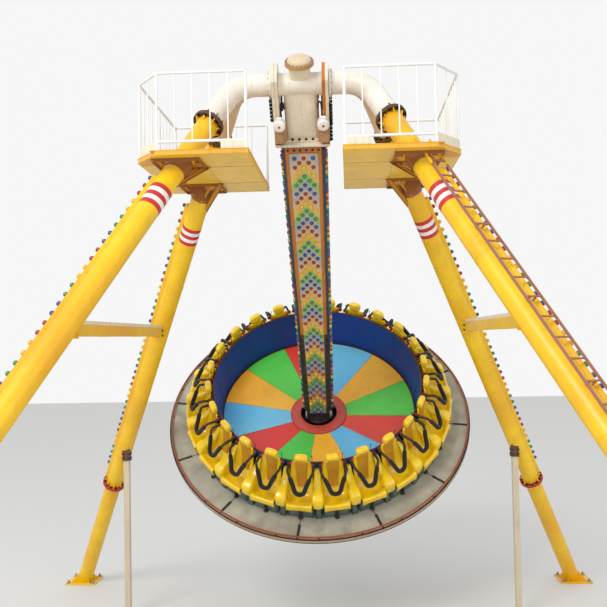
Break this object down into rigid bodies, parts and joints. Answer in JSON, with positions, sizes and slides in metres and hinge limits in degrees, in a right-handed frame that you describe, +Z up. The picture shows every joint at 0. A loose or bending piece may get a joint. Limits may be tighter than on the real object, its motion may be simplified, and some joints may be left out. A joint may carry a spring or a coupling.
{
  "type": "pendulum ride",
  "caption": "Fairground pendulum ride: a four-legged portal, a swinging box arm and a spinning bowl ringed by outward-facing seats with lifting yokes.",
  "frame": {"origin": "on the ground, straight below the middle of the swing axis", "axes": "+X along the swing axis to the right as seen in the picture, +Y away from the viewer in the plane of the swing, +Z up"},
  "size_m": [11.052, 13.6821, 9.2217],
  "materials": {
    "leg_yellow": "gloss paint",
    "prop_grey": "gloss paint",
    "crown_cream": "gloss paint",
    "platform_ochre": "gloss paint",
    "railing_white": "gloss paint",
    "ladder_brown": "gloss paint",
    "hub_cream": "gloss paint",
    "motor_white": "gloss paint",
    "arm_grey": "gloss paint",
    "arm_orange": "gloss paint",
    "bare_steel": "machined",
    "frame_teal": "gloss paint",
    "hub_ring_red": "gloss paint",
    "sector_blue": "gloss paint",
    "sector_orange": "gloss paint",
    "sector_green": "gloss paint",
    "sector_red": "gloss paint",
    "wall_blue": "gloss paint",
    "deck_grey": "gloss paint",
    "rim_tan": "gloss paint",
    "rail_brown": "gloss paint",
    "seat_yellow": "moulded, glossy",
    "base_teal": "gloss paint",
    "headrest_yellow": "moulded, glossy",
    "bracket_red": "gloss paint",
    "yoke_black": "gloss paint"
  },
  "bodies": {
    "portal": {"legs": "leg_yellow", "feet": "leg_yellow", "props": "prop_grey", "cross_beams": "leg_yellow", "crown": "crown_cream", "platforms": "platform_ochre", "platform_brackets": "platform_ochre", "railings": "railing_white", "ladder": "ladder_brown", "lamp_rails": "leg_yellow"},
    "pendulum": {"swing_hub": "hub_cream", "hub_cap": "hub_cream", "hub_cheeks": "hub_cream", "drive_motors": "motor_white", "arm": "arm_grey", "arm_edges": "arm_orange", "arm_spindle": "bare_steel"},
    "gondola": {"turntable_bearing": "bare_steel", "gondola_frame": "frame_teal", "hub_ring": "hub_ring_red", "floor_blue": "sector_blue", "floor_orange": "sector_orange", "floor_green": "sector_green", "floor_red": "sector_red", "bowl_wall": "wall_blue", "deck": "deck_grey", "rim_band": "rim_tan", "rim_rail": "rail_brown", "seat_backs": "seat_yellow", "seat_pans": "seat_yellow", "seat_bases": "base_teal", "headrests": "headrest_yellow", "yoke_brackets": "bracket_red", "seat_bolsters": "seat_yellow"},
    "yoke_01": {"yoke_01": "yoke_black"},
    "yoke_02": {"yoke_02": "yoke_black"},
    "yoke_03": {"yoke_03": "yoke_black"},
    "yoke_04": {"yoke_04": "yoke_black"},
    "yoke_05": {"yoke_05": "yoke_black"},
    "yoke_06": {"yoke_06": "yoke_black"},
    "yoke_07": {"yoke_07": "yoke_black"},
    "yoke_08": {"yoke_08": "yoke_black"},
    "yoke_09": {"yoke_09": "yoke_black"},
    "yoke_10": {"yoke_10": "yoke_black"},
    "yoke_11": {"yoke_11": "yoke_black"},
    "yoke_12": {"yoke_12": "yoke_black"},
    "yoke_13": {"yoke_13": "yoke_black"},
    "yoke_14": {"yoke_14": "yoke_black"},
    "yoke_15": {"yoke_15": "yoke_black"},
    "yoke_16": {"yoke_16": "yoke_black"},
    "yoke_17": {"yoke_17": "yoke_black"},
    "yoke_18": {"yoke_18": "yoke_black"},
    "yoke_19": {"yoke_19": "yoke_black"},
    "yoke_20": {"yoke_20": "yoke_black"},
    "yoke_21": {"yoke_21": "yoke_black"},
    "yoke_22": {"yoke_22": "yoke_black"},
    "yoke_23": {"yoke_23": "yoke_black"},
    "yoke_24": {"yoke_24": "yoke_black"}
  },
  "joints": [
    {"name": "arm_swing", "type": "hinge", "parent": "portal", "child": "pendulum", "pos_m": [0, 0, 8.8], "axis": [1, 0, 0], "range_deg": [-162.8, 77.2]},
    {"name": "gondola_spin", "type": "hinge", "parent": "pendulum", "child": "gondola", "pos_m": [0, 4.8614, 3.55016], "axis": [0, -0.6794, 0.7337], "continuous": true},
    {"name": "yoke_01_lift", "type": "hinge", "parent": "gondola", "child": "yoke_01", "pos_m": [-0.23684, 2.61773, 3.00576], "axis": [-0.9932, 0.0856, 0.0793], "range_deg": [0, 100]},
    {"name": "yoke_02_lift", "type": "hinge", "parent": "gondola", "child": "yoke_02", "pos_m": [0.29304, 2.62316, 3.01079], "axis": [-0.9895, -0.1059, -0.0981], "range_deg": [0, 100]},
    {"name": "yoke_03_lift", "type": "hinge", "parent": "gondola", "child": "yoke_03", "pos_m": [0.80296, 2.72903, 3.10883], "axis": [-0.9184, -0.2902, -0.2687], "range_deg": [0, 100]},
    {"name": "yoke_04_lift", "type": "hinge", "parent": "gondola", "child": "yoke_04", "pos_m": [1.25815, 2.92813, 3.29319], "axis": [-0.7848, -0.4548, -0.4211], "range_deg": [0, 100]},
    {"name": "yoke_05_lift", "type": "hinge", "parent": "gondola", "child": "yoke_05", "pos_m": [1.6276, 3.20689, 3.55132], "axis": [-0.5976, -0.5883, -0.5448], "range_deg": [0, 100]},
    {"name": "yoke_06_lift", "type": "hinge", "parent": "gondola", "child": "yoke_06", "pos_m": [1.88614, 3.5463, 3.86563], "axis": [-0.3697, -0.6817, -0.6313], "range_deg": [0, 100]},
    {"name": "yoke_07_lift", "type": "hinge", "parent": "gondola", "child": "yoke_07", "pos_m": [2.01614, 3.92325, 4.21469], "axis": [-0.1167, -0.7287, -0.6748], "range_deg": [0, 100]},
    {"name": "yoke_08_lift", "type": "hinge", "parent": "gondola", "child": "yoke_08", "pos_m": [2.00874, 4.31205, 4.57471], "axis": [0.1444, -0.726, -0.6723], "range_deg": [0, 100]},
    {"name": "yoke_09_lift", "type": "hinge", "parent": "gondola", "child": "yoke_09", "pos_m": [1.86445, 4.68619, 4.92117], "axis": [0.3955, -0.6739, -0.624], "range_deg": [0, 100]},
    {"name": "yoke_10_lift", "type": "hinge", "parent": "gondola", "child": "yoke_10", "pos_m": [1.5931, 5.02017, 5.23045], "axis": [0.6198, -0.5758, -0.5332], "range_deg": [0, 100]},
    {"name": "yoke_11_lift", "type": "hinge", "parent": "gondola", "child": "yoke_11", "pos_m": [1.21318, 5.29125, 5.48147], "axis": [0.8018, -0.4385, -0.4061], "range_deg": [0, 100]},
    {"name": "yoke_12_lift", "type": "hinge", "parent": "gondola", "child": "yoke_12", "pos_m": [0.75059, 5.48095, 5.65713], "axis": [0.9291, -0.2713, -0.2512], "range_deg": [0, 100]},
    {"name": "yoke_13_lift", "type": "hinge", "parent": "gondola", "child": "yoke_13", "pos_m": [0.23684, 5.57633, 5.74545], "axis": [0.9932, -0.0856, -0.0793], "range_deg": [0, 100]},
    {"name": "yoke_14_lift", "type": "hinge", "parent": "gondola", "child": "yoke_14", "pos_m": [-0.29304, 5.5709, 5.74043], "axis": [0.9895, 0.1059, 0.0981], "range_deg": [0, 100]},
    {"name": "yoke_15_lift", "type": "hinge", "parent": "gondola", "child": "yoke_15", "pos_m": [-0.80296, 5.46503, 5.64239], "axis": [0.9184, 0.2902, 0.2687], "range_deg": [0, 100]},
    {"name": "yoke_16_lift", "type": "hinge", "parent": "gondola", "child": "yoke_16", "pos_m": [-1.25815, 5.26593, 5.45802], "axis": [0.7848, 0.4548, 0.4211], "range_deg": [0, 100]},
    {"name": "yoke_17_lift", "type": "hinge", "parent": "gondola", "child": "yoke_17", "pos_m": [-1.6276, 4.98718, 5.19989], "axis": [0.5976, 0.5883, 0.5448], "range_deg": [0, 100]},
    {"name": "yoke_18_lift", "type": "hinge", "parent": "gondola", "child": "yoke_18", "pos_m": [-1.88614, 4.64776, 4.88559], "axis": [0.3697, 0.6817, 0.6313], "range_deg": [0, 100]},
    {"name": "yoke_19_lift", "type": "hinge", "parent": "gondola", "child": "yoke_19", "pos_m": [-2.01614, 4.27081, 4.53653], "axis": [0.1167, 0.7287, 0.6748], "range_deg": [0, 100]},
    {"name": "yoke_20_lift", "type": "hinge", "parent": "gondola", "child": "yoke_20", "pos_m": [-2.00874, 3.88202, 4.1765], "axis": [-0.1444, 0.726, 0.6723], "range_deg": [0, 100]},
    {"name": "yoke_21_lift", "type": "hinge", "parent": "gondola", "child": "yoke_21", "pos_m": [-1.86445, 3.50788, 3.83005], "axis": [-0.3955, 0.6739, 0.624], "range_deg": [0, 100]},
    {"name": "yoke_22_lift", "type": "hinge", "parent": "gondola", "child": "yoke_22", "pos_m": [-1.5931, 3.17389, 3.52077], "axis": [-0.6198, 0.5758, 0.5332], "range_deg": [0, 100]},
    {"name": "yoke_23_lift", "type": "hinge", "parent": "gondola", "child": "yoke_23", "pos_m": [-1.21318, 2.90281, 3.26975], "axis": [-0.8018, 0.4385, 0.4061], "range_deg": [0, 100]},
    {"name": "yoke_24_lift", "type": "hinge", "parent": "gondola", "child": "yoke_24", "pos_m": [-0.75059, 2.71311, 3.09409], "axis": [-0.9291, 0.2713, 0.2512], "range_deg": [0, 100]}
  ],
  "couplings": [
    {"joint": "yoke_02_lift", "follows": "yoke_01_lift", "ratio": 1},
    {"joint": "yoke_03_lift", "follows": "yoke_01_lift", "ratio": 1},
    {"joint": "yoke_04_lift", "follows": "yoke_01_lift", "ratio": 1},
    {"joint": "yoke_05_lift", "follows": "yoke_01_lift", "ratio": 1},
    {"joint": "yoke_06_lift", "follows": "yoke_01_lift", "ratio": 1},
    {"joint": "yoke_07_lift", "follows": "yoke_01_lift", "ratio": 1},
    {"joint": "yoke_08_lift", "follows": "yoke_01_lift", "ratio": 1},
    {"joint": "yoke_09_lift", "follows": "yoke_01_lift", "ratio": 1},
    {"joint": "yoke_10_lift", "follows": "yoke_01_lift", "ratio": 1},
    {"joint": "yoke_11_lift", "follows": "yoke_01_lift", "ratio": 1},
    {"joint": "yoke_12_lift", "follows": "yoke_01_lift", "ratio": 1},
    {"joint": "yoke_13_lift", "follows": "yoke_01_lift", "ratio": 1},
    {"joint": "yoke_14_lift", "follows": "yoke_01_lift", "ratio": 1},
    {"joint": "yoke_15_lift", "follows": "yoke_01_lift", "ratio": 1},
    {"joint": "yoke_16_lift", "follows": "yoke_01_lift", "ratio": 1},
    {"joint": "yoke_17_lift", "follows": "yoke_01_lift", "ratio": 1},
    {"joint": "yoke_18_lift", "follows": "yoke_01_lift", "ratio": 1},
    {"joint": "yoke_19_lift", "follows": "yoke_01_lift", "ratio": 1},
    {"joint": "yoke_20_lift", "follows": "yoke_01_lift", "ratio": 1},
    {"joint": "yoke_21_lift", "follows": "yoke_01_lift", "ratio": 1},
    {"joint": "yoke_22_lift", "follows": "yoke_01_lift", "ratio": 1},
    {"joint": "yoke_23_lift", "follows": "yoke_01_lift", "ratio": 1},
    {"joint": "yoke_24_lift", "follows": "yoke_01_lift", "ratio": 1}
  ]
}
